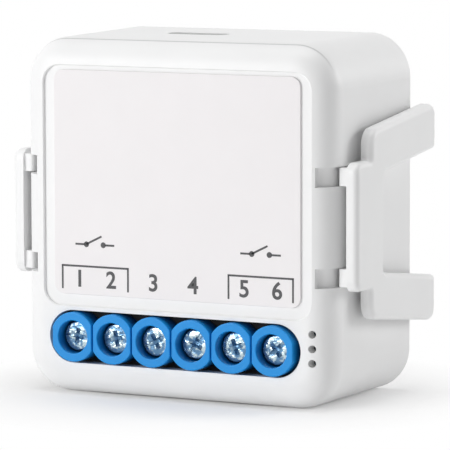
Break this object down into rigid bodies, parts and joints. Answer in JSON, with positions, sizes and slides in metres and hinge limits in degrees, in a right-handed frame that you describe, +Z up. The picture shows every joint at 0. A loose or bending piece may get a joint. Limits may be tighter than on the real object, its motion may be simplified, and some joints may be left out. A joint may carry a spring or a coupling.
{
  "type": "garage door controller",
  "caption": "Small white module case with a row of blue screw clamps along the front, a label plate, rocking side clips and a pairing button in the top.",
  "frame": {"origin": "middle of the flat base face that carries the wire entries, half way through the depth of the case", "axes": "+X to the right when looking at the clamp screws, +Y to the rear cover, +Z up, away from the wire entries"},
  "size_m": [0.0442, 0.0236, 0.041],
  "materials": {
    "case_white": "satin moulded plastic",
    "label_white": "matt printed label",
    "terminal_blue": "satin moulded plastic",
    "sheet_black": "matt film",
    "screw_steel": "bright zinc plated",
    "cage_steel": "nickel plated",
    "bar_brass": "tin plated at the leg",
    "board_green": "solder mask",
    "relay_black": "moulded",
    "can_black": "sleeved can",
    "rod_grey": "coated",
    "varistor_blue": "coated disc",
    "box_yellow": "moulded box",
    "chip_black": "moulded",
    "ferrite_grey": "ground ferrite",
    "winding_yellow": "taped winding",
    "shield_tin": "tinned",
    "led_clear": "clear",
    "switch_black": "moulded"
  },
  "bodies": {
    "case": {"front_shell": "case_white", "rear_cover": "case_white", "label_plate": "label_white", "insulating_sheet": "sheet_black", "terminal_block_1": "terminal_blue", "terminal_block_2": "terminal_blue", "terminal_block_3": "terminal_blue", "contact_bars": "bar_brass", "main_board": "board_green", "relay": "relay_black", "bulk_capacitor": "can_black", "output_capacitor": "can_black", "fuse_resistor": "rod_grey", "varistor": "varistor_blue", "safety_capacitor": "box_yellow", "bridge_rectifier": "chip_black", "power_chip": "chip_black", "opto_coupler": "chip_black", "transformer_core": "ferrite_grey", "transformer_bobbin": "winding_yellow", "radio_board": "board_green", "radio_shield": "shield_tin", "tact_switch": "switch_black", "status_led": "led_clear"},
    "left_clip": {"left_clip": "case_white"},
    "right_clip": {"right_clip": "case_white"},
    "pairing_button": {"pairing_button": "case_white", "switch_plunger": "switch_black"},
    "terminal_screw_1": {"terminal_screw_1": "screw_steel"},
    "clamp_cage_1": {"clamp_cage_1": "cage_steel"},
    "terminal_screw_2": {"terminal_screw_2": "screw_steel"},
    "clamp_cage_2": {"clamp_cage_2": "cage_steel"},
    "terminal_screw_3": {"terminal_screw_3": "screw_steel"},
    "clamp_cage_3": {"clamp_cage_3": "cage_steel"},
    "terminal_screw_4": {"terminal_screw_4": "screw_steel"},
    "clamp_cage_4": {"clamp_cage_4": "cage_steel"},
    "terminal_screw_5": {"terminal_screw_5": "screw_steel"},
    "clamp_cage_5": {"clamp_cage_5": "cage_steel"},
    "terminal_screw_6": {"terminal_screw_6": "screw_steel"},
    "clamp_cage_6": {"clamp_cage_6": "cage_steel"}
  },
  "joints": [
    {"name": "right_clip_pivot", "type": "hinge", "parent": "case", "child": "right_clip", "pos_m": [0.0189, -0.0052, 0.0205], "axis": [0, 0, -1], "range_deg": [-1.5, 12]},
    {"name": "left_clip_pivot", "type": "hinge", "parent": "case", "child": "left_clip", "pos_m": [-0.0189, -0.0052, 0.0205], "axis": [0, 0, 1], "range_deg": [-1.5, 12]},
    {"name": "pairing_button_press", "type": "slide", "parent": "case", "child": "pairing_button", "axis": [0, 0, -1], "range_m": [0, 0.0004], "stiffness_N_per_m": 2500, "springref_m": -0.0002},
    {"name": "cage_1_lift", "type": "slide", "parent": "case", "child": "clamp_cage_1", "axis": [0, -1, 0], "range_m": [0, 0.00225]},
    {"name": "screw_1_turn", "type": "hinge", "parent": "case", "child": "terminal_screw_1", "pos_m": [-0.0127, -0.008, 0.00665], "axis": [0, 1, 0], "range_deg": [0, 1800]},
    {"name": "cage_2_lift", "type": "slide", "parent": "case", "child": "clamp_cage_2", "axis": [0, -1, 0], "range_m": [0, 0.00225]},
    {"name": "screw_2_turn", "type": "hinge", "parent": "case", "child": "terminal_screw_2", "pos_m": [-0.00762, -0.008, 0.00665], "axis": [0, 1, 0], "range_deg": [0, 1800]},
    {"name": "cage_3_lift", "type": "slide", "parent": "case", "child": "clamp_cage_3", "axis": [0, -1, 0], "range_m": [0, 0.00225]},
    {"name": "screw_3_turn", "type": "hinge", "parent": "case", "child": "terminal_screw_3", "pos_m": [-0.00254, -0.008, 0.00665], "axis": [0, 1, 0], "range_deg": [0, 1800]},
    {"name": "cage_4_lift", "type": "slide", "parent": "case", "child": "clamp_cage_4", "axis": [0, -1, 0], "range_m": [0, 0.00225]},
    {"name": "screw_4_turn", "type": "hinge", "parent": "case", "child": "terminal_screw_4", "pos_m": [0.00254, -0.008, 0.00665], "axis": [0, 1, 0], "range_deg": [0, 1800]},
    {"name": "cage_5_lift", "type": "slide", "parent": "case", "child": "clamp_cage_5", "axis": [0, -1, 0], "range_m": [0, 0.00225]},
    {"name": "screw_5_turn", "type": "hinge", "parent": "case", "child": "terminal_screw_5", "pos_m": [0.00762, -0.008, 0.00665], "axis": [0, 1, 0], "range_deg": [0, 1800]},
    {"name": "cage_6_lift", "type": "slide", "parent": "case", "child": "clamp_cage_6", "axis": [0, -1, 0], "range_m": [0, 0.00225]},
    {"name": "screw_6_turn", "type": "hinge", "parent": "case", "child": "terminal_screw_6", "pos_m": [0.0127, -0.008, 0.00665], "axis": [0, 1, 0], "range_deg": [0, 1800]}
  ],
  "couplings": [
    {"joint": "screw_1_turn", "follows": "cage_1_lift", "rad_per_m": 13963},
    {"joint": "screw_2_turn", "follows": "cage_2_lift", "rad_per_m": 13963},
    {"joint": "screw_3_turn", "follows": "cage_3_lift", "rad_per_m": 13963},
    {"joint": "screw_4_turn", "follows": "cage_4_lift", "rad_per_m": 13963},
    {"joint": "screw_5_turn", "follows": "cage_5_lift", "rad_per_m": 13963},
    {"joint": "screw_6_turn", "follows": "cage_6_lift", "rad_per_m": 13963}
  ]
}
